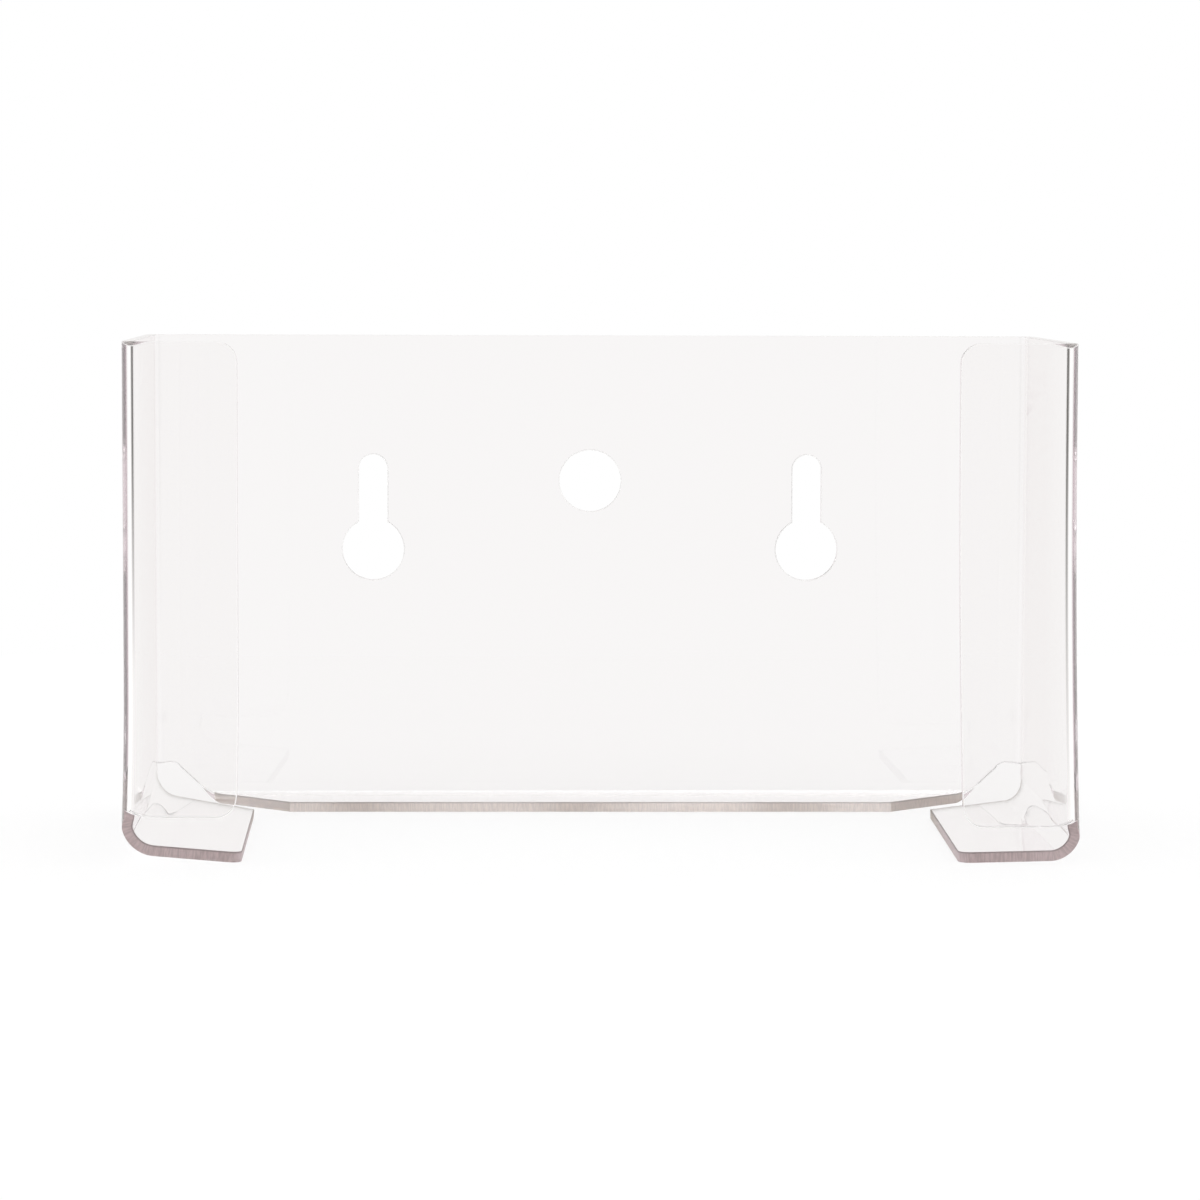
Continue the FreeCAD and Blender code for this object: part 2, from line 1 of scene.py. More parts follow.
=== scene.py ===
from math import asin, atan, cos, pi, radians, sin, tan

import bmesh
import bpy
from mathutils import Matrix, Vector


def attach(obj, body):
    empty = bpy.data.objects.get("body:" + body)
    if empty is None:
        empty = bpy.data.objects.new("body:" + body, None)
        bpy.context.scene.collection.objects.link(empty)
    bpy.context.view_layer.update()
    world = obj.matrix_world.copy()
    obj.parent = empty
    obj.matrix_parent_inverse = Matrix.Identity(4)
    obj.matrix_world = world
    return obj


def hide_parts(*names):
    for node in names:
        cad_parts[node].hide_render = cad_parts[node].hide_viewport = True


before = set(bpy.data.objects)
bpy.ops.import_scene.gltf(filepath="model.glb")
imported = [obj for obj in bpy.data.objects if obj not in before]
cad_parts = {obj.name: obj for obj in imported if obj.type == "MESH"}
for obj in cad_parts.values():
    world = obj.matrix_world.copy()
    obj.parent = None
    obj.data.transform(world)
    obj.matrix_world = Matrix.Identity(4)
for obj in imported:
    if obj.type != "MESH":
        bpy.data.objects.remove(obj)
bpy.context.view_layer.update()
print("frame loaded", sorted(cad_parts))

millimetre = 0.001


# The sheet, in millimetres. Its flat blank has x along the width, y up and z from outside to inside.
# Where the two sides differ, -1 is the left and 1 the right.

sheetSizes = {
    "thickness": 2.4,
    "insideRadius": 5.3,
    "backWidth": 216.0,
    "frontWidth": 209.2,
    "depth": 108.0,
    "height": 115.3,
    "lipEdge": {-1: 79.15, 1: 78.2},  # each lip's cut edge from the middle plane
    "lipCornerRadius": 4.6,
    "lipRise": {-1: 10.7, 1: 8.6},  # height of each lip's lower edge
    "lipLift": (2.0, 1.1),  # the lip's lower edge lifts round the bend: its start on the lip, and the rise
    "tabSetback": 4.4,  # from the front of the sheet to the front of each tab
    "tabReach": {-1: 26.4, 1: 27.0},
    "tabInsideRadius": {-1: 5.4, 1: 4.6},
    "tabDroop": {-1: 5.0, 1: 1.6},  # degrees below level
    "tabCornerRadius": 3.2,
    "tabTaper": {-1: 0.0, 1: 0.75},  # how much shorter the tab is at its rear end
    "tabMitreRun": 20.9,  # how far the tab's mitre runs forward
    "shelfLevel": 0.84,  # underside of the shelf above the floor
    "shelfDepth": 21.2,
    "shelfInsideRadius": 2.4,
    "shelfMitreLevel": 9.25,  # the mitre starts on the back panel, above the bend
    "shelfMitreRun": 27.4,  # how far it runs in along the shelf
    "cornerClearance": 0.15,  # between the back bends and the roots of the tabs and the shelf
    "reliefRadius": 3.25,
    "reliefDrop": 1.75,  # how far the relief's centre lies below the start of the shelf's mitre
    "centreHole": (79.8, 7.5),  # height, radius
    "keyhole": (53.0, 63.0, 7.5, 3.5, 19.7),  # off centre, height, radius, half slot, travel
    "arris": 0.19,  # scraped corner of every cut
    # how far the front of each wall stands out from true: all the way up, and more towards the foot,
    # then the height from which that grows, and with what power
    "splay": {-1: (0.0, 1.1, 40.0, 2.0), 1: (0.9, 1.95, 108.0, 2.4)},
    "splayRear": 46.0,
    "topSink": (0.95, 6.0),  # each front bend sinks outside at the top: how far, and over what height
    "fadeHeight": 3.0,  # below the lip the front strip goes from bent to flat over this height
    "fadeSteps": 6,
    "support": 0.05,  # flat strip beside each bend
    "stripHeight": 4.0,  # strips across the sheet, so that the splay is smooth
    "flangeZone": 12.0,  # the bends of the tabs and the shelf lie below this height
    "steps": {"bend": 64, "lipCorner": 14, "lipLift": 10, "tabCorner": 8, "relief": 10,
              "hole": 64, "slot": 24, "keyhole": 56},
    "sawnShelf": 0.7,  # the shelf's cut is sawn past this share of its bend
    "sawnTab": (0.3, 0.1),  # and the tab's from this far past its rear end to this far past its front
    "sharpAngle": 14.0,  # degrees, past which two faces meet in a sharp edge
}

size = sheetSizes
steps = size["steps"]
thickness = size["thickness"]
outerRadius = size["insideRadius"] + thickness
neutralRadius = size["insideRadius"] + thickness / 2
toe = atan((size["backWidth"] - size["frontWidth"]) / 2 / size["depth"])
backTurn, frontTurn = pi / 2 + toe, pi / 2 - toe
backTangent = outerRadius * tan(backTurn / 2)
frontTangent = outerRadius * tan(frontTurn / 2)
slack = 1e-3  # for telling which side of a line a place lies

# places along the blank, from the middle of the back panel outwards
backEnd = size["backWidth"] / 2 - backTangent
wallStart = backEnd + neutralRadius * backTurn
wallEnd = wallStart + size["depth"] / cos(toe) - backTangent - frontTangent
lipStart = wallEnd + neutralRadius * frontTurn
tabRear = wallStart + size["cornerClearance"]
tabFront = wallEnd + frontTangent - size["tabSetback"] / cos(toe)
shelfRoot = backEnd - size["cornerClearance"]
shelfRadius = size["shelfInsideRadius"] + thickness
shelfBend = (shelfRadius - thickness / 2) * pi / 2
shelfTangent = size["shelfLevel"] + shelfRadius
shelfFront = shelfTangent - shelfBend - (size["shelfDepth"] - shelfRadius)


def lipEnd(side):
    return lipStart + size["frontWidth"] / 2 - frontTangent - size["lipEdge"][side]


def tabBend(side):
    # height where the tab's bend starts, the angle it turns and its outer radius
    droop = radians(size["tabDroop"][side])
    turn = pi / 2 - droop
    radius = size["tabInsideRadius"][side] + thickness
    return size["tabReach"][side] * tan(droop) + radius * tan(turn / 2), turn, radius


def tabFreeEdge(side):
    # height of the tab's free edge in the blank
    tangent, turn, radius = tabBend(side)
    flat = size["tabReach"][side] / cos(radians(size["tabDroop"][side])) - radius * tan(turn / 2)
    return tangent - (radius - thickness / 2) * turn - flat


class Pen:
    # draws an outline by pulling a vertex along runs and spinning it round corners

    def __init__(self, bm, x, y):
        self.bm = bm
        self.vert = bm.verts.new((x, y, 0))

    def run(self, x, y):
        pulled = bmesh.ops.extrude_vert_indiv(self.bm, verts=[self.vert])["verts"]
        bmesh.ops.translate(self.bm, verts=pulled, vec=Vector((x, y, 0)) - self.vert.co)
        self.vert = pulled[0]

    def turn(self, x, y, angle, count):
        spun = bmesh.ops.spin(self.bm, geom=[self.vert], cent=(x, y, 0), axis=(0, 0, 1),
                              angle=angle, steps=count)
        self.vert = spun["geom_last"][0]


def drawLip(pen, side):
    radius, rise, top = size["lipCornerRadius"], size["lipRise"][side], size["height"]
    corner = lipEnd(side) - radius
    quarter = -side * pi / 2
    pen.run(side * corner, top)
    pen.turn(side * corner, top - radius, quarter, steps["lipCorner"])
    pen.run(side * lipEnd(side), rise + radius)
    pen.turn(side * corner, rise + radius, quarter, steps["lipCorner"])
    start, lift = size["lipLift"]
    length = lipStart + start - tabFront
    sweep = (length ** 2 + lift ** 2) / (2 * lift)
    pen.run(side * (lipStart + start), rise)
    pen.turn(side * (lipStart + start), rise + sweep, -side * asin(length / sweep), steps["lipLift"])


def drawTab(pen, side):
    radius, edge = size["tabCornerRadius"], tabFreeEdge(side)
    tangent = tabBend(side)[0]
    pen.run(side * tabFront, edge + radius)
    pen.turn(side * (tabFront - radius), edge + radius, -side * pi / 2, steps["tabCorner"])
    pen.run(side * (tabRear + size["tabMitreRun"]), edge + size["tabTaper"][side])
    pen.run(side * tabRear, tangent)


def drawNotchAndShelf(pen, side):
    drop, radius = size["reliefDrop"], size["reliefRadius"]
    reliefX = shelfRoot + (radius ** 2 - drop ** 2) ** 0.5
    level = size["shelfMitreLevel"] - drop
    pen.run(side * tabRear, level + radius)
    pen.run(side * reliefX, level + radius)
    pen.turn(side * reliefX, level, side * (pi / 2 - asin(drop / radius)), steps["relief"])
    pen.run(side * (shelfRoot - size["shelfMitreRun"]), shelfFront)
    pen.run(0, shelfFront)


def drawHoles(bm):
    height, radius = size["centreHole"]
    centre = Matrix.Translation((0, height, 0))
    bmesh.ops.create_circle(bm, cap_ends=False, segments=steps["hole"], radius=radius, matrix=centre)
    place, low, radius, half, travel = size["keyhole"]
    neck = asin(half / radius)
    for side in (-1, 1):
        pen = Pen(bm, side * place + half, low + radius * cos(neck))
        pen.run(side * place + half, low + travel)
        pen.turn(side * place, low + travel, pi, steps["slot"])
        pen.run(side * place - half, low + radius * cos(neck))
        pen.turn(side * place, low, 2 * pi - 2 * neck, steps["keyhole"])


def drawBlank(bm):
    for side in (1, -1):
        pen = Pen(bm, 0, size["height"])
        drawLip(pen, side)
        drawTab(pen, side)
        drawNotchAndShelf(pen, side)
    drawHoles(bm)
    bmesh.ops.remove_doubles(bm, verts=bm.verts, dist=1e-4)
    bmesh.ops.triangle_fill(bm, edges=bm.edges, use_beauty=True)
    bmesh.ops.recalc_face_normals(bm, faces=bm.faces)
    if bm.faces[:][0].normal.z > 0:
        bmesh.ops.reverse_faces(bm, faces=bm.faces)
    grown = bmesh.ops.extrude_face_region(bm, geom=bm.faces[:])["geom"]
    inside = [item for item in grown if isinstance(item, bmesh.types.BMVert)]
    bmesh.ops.translate(bm, verts=inside, vec=(0, 0, thickness))
    bmesh.ops.recalc_face_normals(bm, faces=bm.faces)


def isRim(edge):
    # the edges round both faces of the sheet, which lie flat and are square
    first, second = edge.verts
    flat = abs(first.co.z - second.co.z) < 1e-6
    return flat and len(edge.link_faces) == 2 and edge.calc_face_angle() > radians(45)


def scrapeRim(bm):
    rim = [edge for edge in bm.edges if isRim(edge)]
    bmesh.ops.bevel(bm, geom=rim, offset=size["arris"], affect="EDGES", segments=2,
                    profile=0.5, material=-1)


def cutLine(bm, place, normal, keep=None):
    # cuts across the blank, through all of it or only through the faces that keep() picks
    geometry = [*bm.verts, *bm.edges, *bm.faces]
    if keep is not None:
        faces = [face for face in bm.faces if keep(face.calc_center_median())]
        edges = dict.fromkeys(edge for face in faces for edge in face.edges)
        verts = dict.fromkeys(vert for face in faces for vert in face.verts)
        geometry = [*verts, *edges, *faces]
    bmesh.ops.bisect_plane(bm, geom=geometry, dist=1e-5, plane_co=place, plane_no=normal)


def bendStations(start, length):
    # the lines between a bend's facets, with one more in the flat at each end
    facets = [start + length * step / steps["bend"] for step in range(steps["bend"] + 1)]
    return [start - size["support"], *facets, start + length + size["support"]]


def cutBendLines(bm):
    upright, level = (1, 0, 0), (0, 1, 0)
    for side in (-1, 1):
        for station in bendStations(backEnd, neutralRadius * backTurn):
            cutLine(bm, (side * station, 0, 0), upright)
        for station in bendStations(wallEnd, neutralRadius * frontTurn):
            cutLine(bm, (side * station, 0, 0), upright)

    strip, zone = size["stripHeight"], size["flangeZone"]
    for count in range(int(zone / strip), int(size["height"] / strip)):
        cutLine(bm, (0, count * strip, 0), level)

    for side in (-1, 1):
        tangent, turn, radius = tabBend(side)
        for station in bendStations(-tangent, (radius - thickness / 2) * turn):
            cutLine(bm, (0, -station, 0), level, lambda at: side * at.x > wallStart and at.y < zone)
    for station in bendStations(-shelfTangent, shelfBend):
        cutLine(bm, (0, -station, 0), level, lambda at: abs(at.x) < backEnd and at.y < zone)

    for step in range(1, size["fadeSteps"] + 2):
        drop = step * size["fadeHeight"] / size["fadeSteps"]
        for side in (1, -1):
            cutLine(bm, (0, size["lipRise"][side] - drop, 0), level, lambda at: side * at.x > wallEnd)


def isSawn(at):
    # the free edges of the tabs and the shelf are sawn, all other cuts and the shelf's bend are clear
    side = -1 if at.x < 0 else 1
    across = abs(at.x)
    if across < shelfRoot:
        return at.y < shelfTangent - size["sawnShelf"] * shelfBend
    rearGap, frontGap = size["sawnTab"]
    onTab = tabRear + rearGap < across < tabFront + frontGap
    return onTab and at.y < size["lipRise"][side] + size["lipLift"][1]


def markCuts(bm):
    # clear faces take material 0, sawn cuts and their corners 1, the scraped corners of clear cuts 2
    # on a cut the map "blank" runs along the cut and through the thickness, in millimetres
    layer = bm.loops.layers.uv.new("blank")
    for face in bm.faces:
        depths = [vert.co.z for vert in face.verts]
        deep = max(depths) - min(depths)
        onCut = deep > slack
        sawn = onCut and isSawn(face.calc_center_median())
        scraped = onCut and deep < thickness / 2
        face.material_index = 1 if sawn else 2 if scraped else 0
        face.smooth = True
        for loop in face.loops:
            x, y, z = loop.vert.co
            loop[layer].uv = (x + y, z) if onCut else (x, y)


def frontShare(side, along, up):
    # how much of the front bend a place takes: below the lip the strip in front of the tab stays flat
    rise = size["lipRise"][side]
    if along > tabFront + slack or up >= rise:
        return 1.0
    share = max(0.0, 1 - (rise - up) / size["fadeHeight"])
    return share * share * (3 - 2 * share)


def planPoint(along, up):
    # plan of the middle of the sheet at a place on the blank, with its inward normal
    side = -1 if along < 0 else 1
    along = abs(along)
    back = size["depth"] / 2 - thickness / 2
    if along <= backEnd:
        return side * along, back, 0.0, -1.0
    # bends keep the length of the middle of the sheet
    spin = min((along - backEnd) / neutralRadius, backTurn)
    x = backEnd + neutralRadius * sin(spin)
    y = back - neutralRadius * (1 - cos(spin))
    if along > wallStart:
        straight = min(along, wallEnd) - wallStart
        x += straight * cos(spin)
        y -= straight * sin(spin)
    if along > wallEnd:
        share = frontShare(side, along, up)
        over = along - wallEnd
        if share < 0.02:  # as good as flat
            x += over * cos(spin)
            y -= over * sin(spin)
        else:
            radius = neutralRadius / share
            end = spin + min(over / radius, frontTurn)
            x += radius * (sin(end) - sin(spin))
            y -= radius * (cos(spin) - cos(end))
            spin = end
            if along > lipStart:
                x += (along - lipStart) * cos(spin)
                y -= (along - lipStart) * sin(spin)
    return side * x, y, -side * sin(spin), -cos(spin)


def topSinkAt(along, up, through):
    # how far a place near the top of a front bend sinks
    if not wallEnd < along < lipStart:
        return 0.0
    sink, fade = size["topSink"]
    share = max(0.0, 1 - (size["height"] - up) / fade) ** 2
    across = (along - wallEnd) / (lipStart - wallEnd)
    return sink * share * (1 - through / thickness) * sin(pi * across) ** 2


def splayAt(side, up, y):
    # how far a place on a wall or lip stands out from true
    always, more, reach, power = size["splay"][side]
    level = max(0.0, 1 - up / reach)
    forward = max(0.0, size["splayRear"] - y) / (size["splayRear"] + size["depth"] / 2)
    return side * (always + more * level ** power) * forward


def bendPoint(flat):
    # where a place in the flat blank comes to once the sheet is bent
    along, up, through = flat
    side = -1 if along < 0 else 1
    inward, z = through, up
    if abs(along) < (shelfRoot + tabRear) / 2:
        tangent, turn, outer = shelfTangent, pi / 2, shelfRadius
        inFlange = up < tangent and abs(along) <= shelfRoot + slack
    else:
        tangent, turn, outer = tabBend(side)
        inFlange = up < tangent
    if inFlange:
        neutral = outer - thickness / 2
        angle = min((tangent - up) / neutral, turn)
        radius = outer - through
        beyond = max(0.0, tangent - up - neutral * turn)
        inward = outer - radius * cos(angle) + beyond * sin(angle)
        z = tangent - radius * sin(angle) - beyond * cos(angle)
    x, y, normalX, normalY = planPoint(along, up)
    offset = inward - thickness / 2
    z -= topSinkAt(abs(along), up, through)
    if abs(along) > backEnd:
        x += splayAt(side, max(up, tangent), y)
    return Vector((x + normalX * offset, y + normalY * offset, z))


def makeSheet():
    bm = bmesh.new()
    drawBlank(bm)
    scrapeRim(bm)
    print("blank drawn", len(bm.faces), "faces")
    cutBendLines(bm)
    markCuts(bm)
    print("bend lines cut", len(bm.faces), "faces")
    for vert in bm.verts:
        vert.co = bendPoint(vert.co) * millimetre
    mesh = bpy.data.meshes.new("bentSheet")
    bm.to_mesh(mesh)
    bm.free()
    mesh.set_sharp_from_angle(angle=radians(size["sharpAngle"]))
    piece = bpy.data.objects.new("bentSheet", mesh)
    bpy.context.scene.collection.objects.link(piece)
    return piece


# Finishes

def newMaterial(name):
    material = bpy.data.materials.new(name)
    material.use_nodes = True
    nodes = material.node_tree.nodes
    nodes.clear()
    return material, nodes, material.node_tree.links


def mixShaders(nodes, links, factor, first, second):
    # factor is a number or a socket
    mix = nodes.new("ShaderNodeMixShader")
    if isinstance(factor, float):
        mix.inputs["Fac"].default_value = factor
    else:
        links.new(factor, mix.inputs["Fac"])
    links.new(first, mix.inputs[1])
    links.new(second, mix.inputs[2])
    return mix.outputs["Shader"]


def mixColours(nodes, links, factor, first, second, blend="MIX"):
    # first and second are colours or sockets
    mix = nodes.new("ShaderNodeMix")
    mix.data_type = "RGBA"
    mix.blend_type = blend
    links.new(factor, mix.inputs["Factor"])
    for socket, colour in ((mix.inputs[6], first), (mix.inputs[7], second)):
        if isinstance(colour, tuple):
            socket.default_value = colour
        else:
            links.new(colour, socket)
    return mix.outputs[2]


def fadeBetween(nodes, links, value, ends):
    fade = nodes.new("ShaderNodeMapRange")
    fade.interpolation_type = "SMOOTHSTEP"
    fade.inputs["From Min"].default_value = ends[0]
    fade.inputs["From Max"].default_value = ends[1]
    links.new(value, fade.inputs["Value"])
    return fade.outputs["Result"]


def splitAxes(nodes, links, value):
    axes = nodes.new("ShaderNodeSeparateXYZ")
    links.new(value, axes.inputs["Vector"])
    return axes.outputs


def moreThan(nodes, links, value, limit):
    test = nodes.new("ShaderNodeMath")
    test.operation = "GREATER_THAN"
    test.inputs[1].default_value = limit
    links.new(value, test.inputs[0])
    return test.outputs["Value"]


def multiply(nodes, links, first, second):
    product = nodes.new("ShaderNodeMath")
    product.operation = "MULTIPLY"
    links.new(first, product.inputs[0])
    links.new(second, product.inputs[1])
    return product.outputs["Value"]


clearSheet = {
    "tint": (0.999, 0.9975, 0.998, 1),  # taken at each face the light passes or is turned back from
    "ior": 1.57,
    "shadow": (0.90, 0.885, 0.885, 1),  # share of a lamp's light that each face lets through
}

sawnEdge = {
    "frontPale": (0.53, 0.405, 0.41, 1),
    "frontDark": (0.34, 0.25, 0.255, 1),
    # the rear pair is the same sawn edge with painted light: warmer, as lit from behind
    "rearPaleWithPaintedLight": (0.45, 0.37, 0.30, 1),
    "rearDarkWithPaintedLight": (0.32, 0.26, 0.215, 1),
    "paintedLightDepthEnds": (-0.02, 0.03),  # metres along the depth, from the front pair of colours to the rear pair with its painted light
    "chamferShadeColour": (0.50, 0.47, 0.48, 1),  # painted shade: a darker line under the inside face, where a small saw chamfer lies
    "chamferShadeWidth": 0.3,
    "roughness": 0.5,
    "shine": 0.3,  # share of light that the sawn face lets into the sheet
    "marksLean": 28.0,  # degrees
    "marksScale": (2.6, 0.35, 1),  # per millimetre, along and through
    "marksDetail": 5,
    "marksRoughness": 0.65,
    "marksEnds": (0.38, 0.62),
}

scrapedArrisWithHighlight = {
    # pale: partly the frosting, partly a painted highlight along each arris
    "colour": (0.97, 0.96, 0.95, 1),
    "roughness": 0.4,
    "glassRoughness": 0.35,
    "shine": 0.45,
}


def makeGlass(nodes, roughness):
    glass = nodes.new("ShaderNodeBsdfGlass")
    glass.inputs["Roughness"].default_value = roughness
    glass.inputs["IOR"].default_value = clearSheet["ior"]
    return glass


def letLampsThrough(nodes, links, surface):
    # lamps shine through the sheet, so its shadow is as faint as that of clear plastic
    path = nodes.new("ShaderNodeLightPath")
    clear = nodes.new("ShaderNodeBsdfTransparent")
    clear.inputs["Color"].default_value = clearSheet["shadow"]
    output = nodes.new("ShaderNodeOutputMaterial")
    both = mixShaders(nodes, links, path.outputs["Is Shadow Ray"], surface, clear.outputs["BSDF"])
    links.new(both, output.inputs["Surface"])


def makeClearPlastic():
    material, nodes, links = newMaterial("clearPlastic")
    glass = makeGlass(nodes, 0)
    glass.inputs["Color"].default_value = clearSheet["tint"]
    letLampsThrough(nodes, links, glass.outputs["BSDF"])
    return material


def makeSawnEdge():
    material, nodes, links = newMaterial("sawnEdge")
    # saw marks lean across the thickness, in millimetres on the flat blank
    blank = nodes.new("ShaderNodeUVMap")
    blank.uv_map = "blank"
    lean = nodes.new("ShaderNodeMapping")
    lean.inputs["Rotation"].default_value = (0, 0, radians(sawnEdge["marksLean"]))
    lean.inputs["Scale"].default_value = sawnEdge["marksScale"]
    links.new(blank.outputs["UV"], lean.inputs["Vector"])
    marks = nodes.new("ShaderNodeTexNoise")
    marks.inputs["Scale"].default_value = 1.0
    marks.inputs["Detail"].default_value = sawnEdge["marksDetail"]
    marks.inputs["Roughness"].default_value = sawnEdge["marksRoughness"]
    links.new(lean.outputs["Vector"], marks.inputs["Vector"])
    streak = fadeBetween(nodes, links, marks.outputs["Fac"], sawnEdge["marksEnds"])
    # mauve at the front; warmer on the shelf at the rear, which is painted light that the edge picks up
    # from behind
    place = splitAxes(nodes, links, nodes.new("ShaderNodeTexCoord").outputs["Object"])
    rearward = fadeBetween(nodes, links, place["Y"], sawnEdge["paintedLightDepthEnds"])
    front = mixColours(nodes, links, streak, sawnEdge["frontDark"], sawnEdge["frontPale"])
    rear = mixColours(nodes, links, streak, sawnEdge["rearDarkWithPaintedLight"], sawnEdge["rearPaleWithPaintedLight"])
    sawn = mixColours(nodes, links, rearward, front, rear)
    # painted shade along the cut just under the inside face, for the small saw chamfer there
    through = splitAxes(nodes, links, blank.outputs["UV"])
    lineEnd = thickness - size["arris"]
    line = fadeBetween(nodes, links, through["Y"], (lineEnd - sawnEdge["chamferShadeWidth"], lineEnd))
    colour = mixColours(nodes, links, line, sawn, sawnEdge["chamferShadeColour"], "MULTIPLY")
    dull = nodes.new("ShaderNodeBsdfPrincipled")
    dull.inputs["Roughness"].default_value = sawnEdge["roughness"]
    links.new(colour, dull.inputs["Base Color"])
    glass = makeGlass(nodes, sawnEdge["roughness"])
    both = mixShaders(nodes, links, sawnEdge["shine"], dull.outputs["BSDF"], glass.outputs["BSDF"])
    letLampsThrough(nodes, links, both)
    return material


def makeScrapedArrisWithHighlight():
    # the corners of every clear cut are scraped, which leaves them frosted; their pale colour is partly
    # that frosting and partly a painted highlight along each arris
    material, nodes, links = newMaterial("scrapedArrisWithHighlight")
    frosted = nodes.new("ShaderNodeBsdfPrincipled")
    frosted.inputs["Base Color"].default_value = scrapedArrisWithHighlight["colour"]
    frosted.inputs["Roughness"].default_value = scrapedArrisWithHighlight["roughness"]
    glass = makeGlass(nodes, scrapedArrisWithHighlight["glassRoughness"])
    both = mixShaders(nodes, links, scrapedArrisWithHighlight["shine"], frosted.outputs["BSDF"], glass.outputs["BSDF"])
    letLampsThrough(nodes, links, both)
    return material


sheet = makeSheet()
sheet.data.materials.append(makeClearPlastic())
sheet.data.materials.append(makeSawnEdge())
sheet.data.materials.append(makeScrapedArrisWithHighlight())
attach(sheet, "root")
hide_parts("dispenser_sheet")
print("sheet bent")


# Floor, light and camera

studio = {
    "floorSpan": 0.9,
    "paperShare": 0.25,  # share of the floor that shows the shadow
    "throughSheet": (0.957, 0.946, 0.944, 1),  # the backdrop as the sheet shows it
    "behind": (0.94, 0.93, 0.92, 1),  # what a reflection sees behind the sheet
    "before": (0.78, 0.76, 0.73, 1),  # and in front of it
    "beforeEnds": (-0.4, 0.6),  # along the depth of a ray's direction, from the one to the other
    "piped": (0.74, 0.65, 0.68, 1),  # light that has run a long way inside the sheet
    "pipedFrom": 2.5,  # reflections
    "boxes": (1.10, 1.09, 1.08, 1),  # soft boxes behind at both sides, which light the gap in each bend
    "boxesEnds": (0.45, 0.62),  # along the width of a ray's direction, where they start
    "boxesBehind": (0.12, 0.32),  # and along its depth
    "flags": (0.10, 0.10, 0.09, 1),  # black cards beside them, which draw the dark line in each bend
    "flagsEnds": (0.80, 0.92),  # along the width, as for the boxes
    "flagsAbove": (-0.12, -0.03),  # they stand high, so the dark lines fade towards the foot
    "ambient": 0.80,
    "lampStrength": 0.85,
    "lampSpread": 30.0,  # degrees across, for soft shadows
    "lampLean": (-12.0, 8.0),  # degrees from overhead
    "bounces": 64,  # light runs a long way inside the sheet
}

white = (1, 1, 1, 1)


def makeFloor():
    bm = bmesh.new()
    bmesh.ops.create_grid(bm, x_segments=1, y_segments=1, size=studio["floorSpan"] / 2)
    mesh = bpy.data.meshes.new("floor")
    bm.to_mesh(mesh)
    bm.free()
    floor = bpy.data.objects.new("floor", mesh)
    bpy.context.scene.collection.objects.link(floor)
    material, nodes, links = newMaterial("paleFloor")
    path = nodes.new("ShaderNodeLightPath")
    paper = nodes.new("ShaderNodeBsdfDiffuse")
    paper.inputs["Color"].default_value = white
    # with the lit paper's share, the floor through the sheet comes out as the backdrop does
    share = studio["paperShare"]
    lit = studio["ambient"] + studio["lampStrength"] / pi
    rest = tuple((level - share * lit) / (1 - share) for level in studio["throughSheet"])
    glow = nodes.new("ShaderNodeEmission")
    links.new(mixColours(nodes, links, path.outputs["Is Camera Ray"], rest, white), glow.inputs["Color"])
    both = mixShaders(nodes, links, share, glow.outputs["Emission"], paper.outputs["BSDF"])
    # light scattered by a dull surface sees the plain paper, reflections see the room past it
    scattered = moreThan(nodes, links, path.outputs["Diffuse Depth"], 0.5)
    surface = mixShaders(nodes, links, scattered, both, paper.outputs["BSDF"])
    past = nodes.new("ShaderNodeBsdfTransparent")
    turned = moreThan(nodes, links, path.outputs["Glossy Depth"], 0.5)
    output = nodes.new("ShaderNodeOutputMaterial")
    links.new(mixShaders(nodes, links, turned, surface, past.outputs["BSDF"]), output.inputs["Surface"])
    mesh.materials.append(material)


def makeLamp():
    light = bpy.data.lights.new("softLamp", "SUN")
    light.energy = studio["lampStrength"]
    light.angle = radians(studio["lampSpread"])
    lamp = bpy.data.objects.new("softLamp", light)
    back, aside = studio["lampLean"]
    lamp.rotation_euler = (radians(back), radians(aside), 0)
    bpy.context.scene.collection.objects.link(lamp)


def makeBackground(nodes, links, colour, strength=1.0):
    # colour is a colour or a socket
    background = nodes.new("ShaderNodeBackground")
    background.inputs["Strength"].default_value = strength
    if isinstance(colour, tuple):
        background.inputs["Color"].default_value = colour
    else:
        links.new(colour, background.inputs["Color"])
    return background.outputs["Background"]


def makeRoomColour(nodes, links, path):
    # what a reflection sees: pale behind the sheet, dimmer before it, soft boxes and cards at the sides
    axes = splitAxes(nodes, links, nodes.new("ShaderNodeTexCoord").outputs["Generated"])
    sideways = nodes.new("ShaderNodeMath")
    sideways.operation = "ABSOLUTE"
    links.new(axes["X"], sideways.inputs[0])
    aside = sideways.outputs["Value"]
    rearward = fadeBetween(nodes, links, axes["Y"], studio["beforeEnds"])
    level = mixColours(nodes, links, rearward, studio["before"], studio["behind"])
    flagged = multiply(nodes, links, fadeBetween(nodes, links, aside, studio["flagsEnds"]),
                       fadeBetween(nodes, links, axes["Z"], studio["flagsAbove"]))
    cards = mixColours(nodes, links, flagged, studio["boxes"], studio["flags"])
    boxed = multiply(nodes, links, fadeBetween(nodes, links, aside, studio["boxesEnds"]),
                     fadeBetween(nodes, links, axes["Y"], studio["boxesBehind"]))
    shade = mixColours(nodes, links, boxed, level, cards)
    piped = moreThan(nodes, links, path.outputs["Glossy Depth"], studio["pipedFrom"])
    return mixColours(nodes, links, piped, shade, studio["piped"])


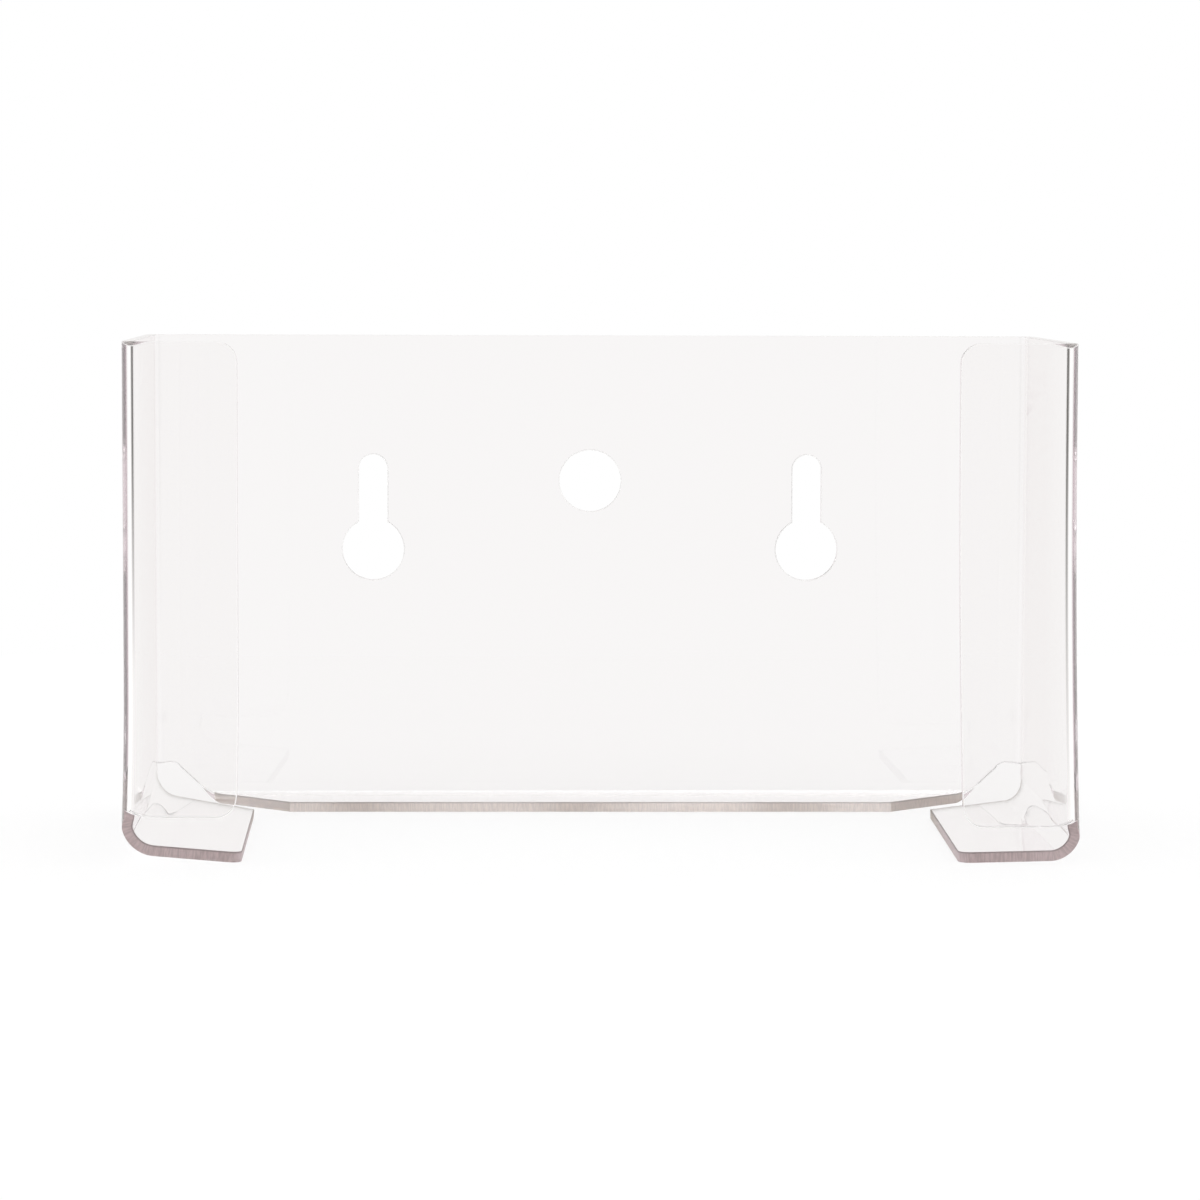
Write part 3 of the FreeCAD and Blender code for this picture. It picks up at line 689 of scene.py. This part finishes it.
def makeWorld():
    world = bpy.data.worlds.new("studio")
    bpy.context.scene.world = world
    world.use_nodes = True
    world.cycles.sampling_method = "NONE"  # so that every ray heeds the choices below
    nodes, links = world.node_tree.nodes, world.node_tree.links
    nodes.clear()
    path = nodes.new("ShaderNodeLightPath")
    room = makeBackground(nodes, links, makeRoomColour(nodes, links, path))
    # seen directly or through the sheet there is the white backdrop, and dull surfaces get an even light
    plain = mixColours(nodes, links, path.outputs["Is Camera Ray"], studio["throughSheet"], white)
    backdrop = makeBackground(nodes, links, plain)
    even = makeBackground(nodes, links, white, studio["ambient"])
    turned = moreThan(nodes, links, path.outputs["Glossy Depth"], 0.5)
    seen = mixShaders(nodes, links, turned, backdrop, room)
    scattered = moreThan(nodes, links, path.outputs["Diffuse Depth"], 0.5)
    output = nodes.new("ShaderNodeOutputWorld")
    links.new(mixShaders(nodes, links, scattered, seen, even), output.inputs["Surface"])


viewpoint = {
    "place": (-19.55, -960.04, 130.45),  # millimetres
    "yaw": 1.247,  # degrees
    "pitch": -4.51,
    "roll": 0.169,
    "focalPixels": 4146.3,
    "imagePixels": 1200,
    "sensor": 36,
}


def makeCamera():
    yaw, pitch, roll = (radians(viewpoint[name]) for name in ("yaw", "pitch", "roll"))
    forward = Vector((sin(yaw) * cos(pitch), cos(yaw) * cos(pitch), sin(pitch)))
    level = Vector((cos(yaw), -sin(yaw), 0))
    upright = level.cross(forward)
    right = level * cos(roll) + upright * sin(roll)
    up = upright * cos(roll) - level * sin(roll)
    camera = bpy.data.objects.new("camera", bpy.data.cameras.new("camera"))
    camera.data.sensor_width = viewpoint["sensor"]
    camera.data.lens = viewpoint["sensor"] * viewpoint["focalPixels"] / viewpoint["imagePixels"]
    turn = Matrix((right, up, -forward)).transposed().to_4x4()
    camera.matrix_world = Matrix.Translation(Vector(viewpoint["place"]) * millimetre) @ turn
    bpy.context.scene.collection.objects.link(camera)
    bpy.context.scene.camera = camera


makeFloor()
makeLamp()
makeWorld()
makeCamera()
cycles = bpy.context.scene.cycles
cycles.max_bounces = studio["bounces"]
cycles.glossy_bounces = studio["bounces"]
cycles.transmission_bounces = studio["bounces"]
bpy.context.scene.view_settings.view_transform = "Standard"
print("studio ready")
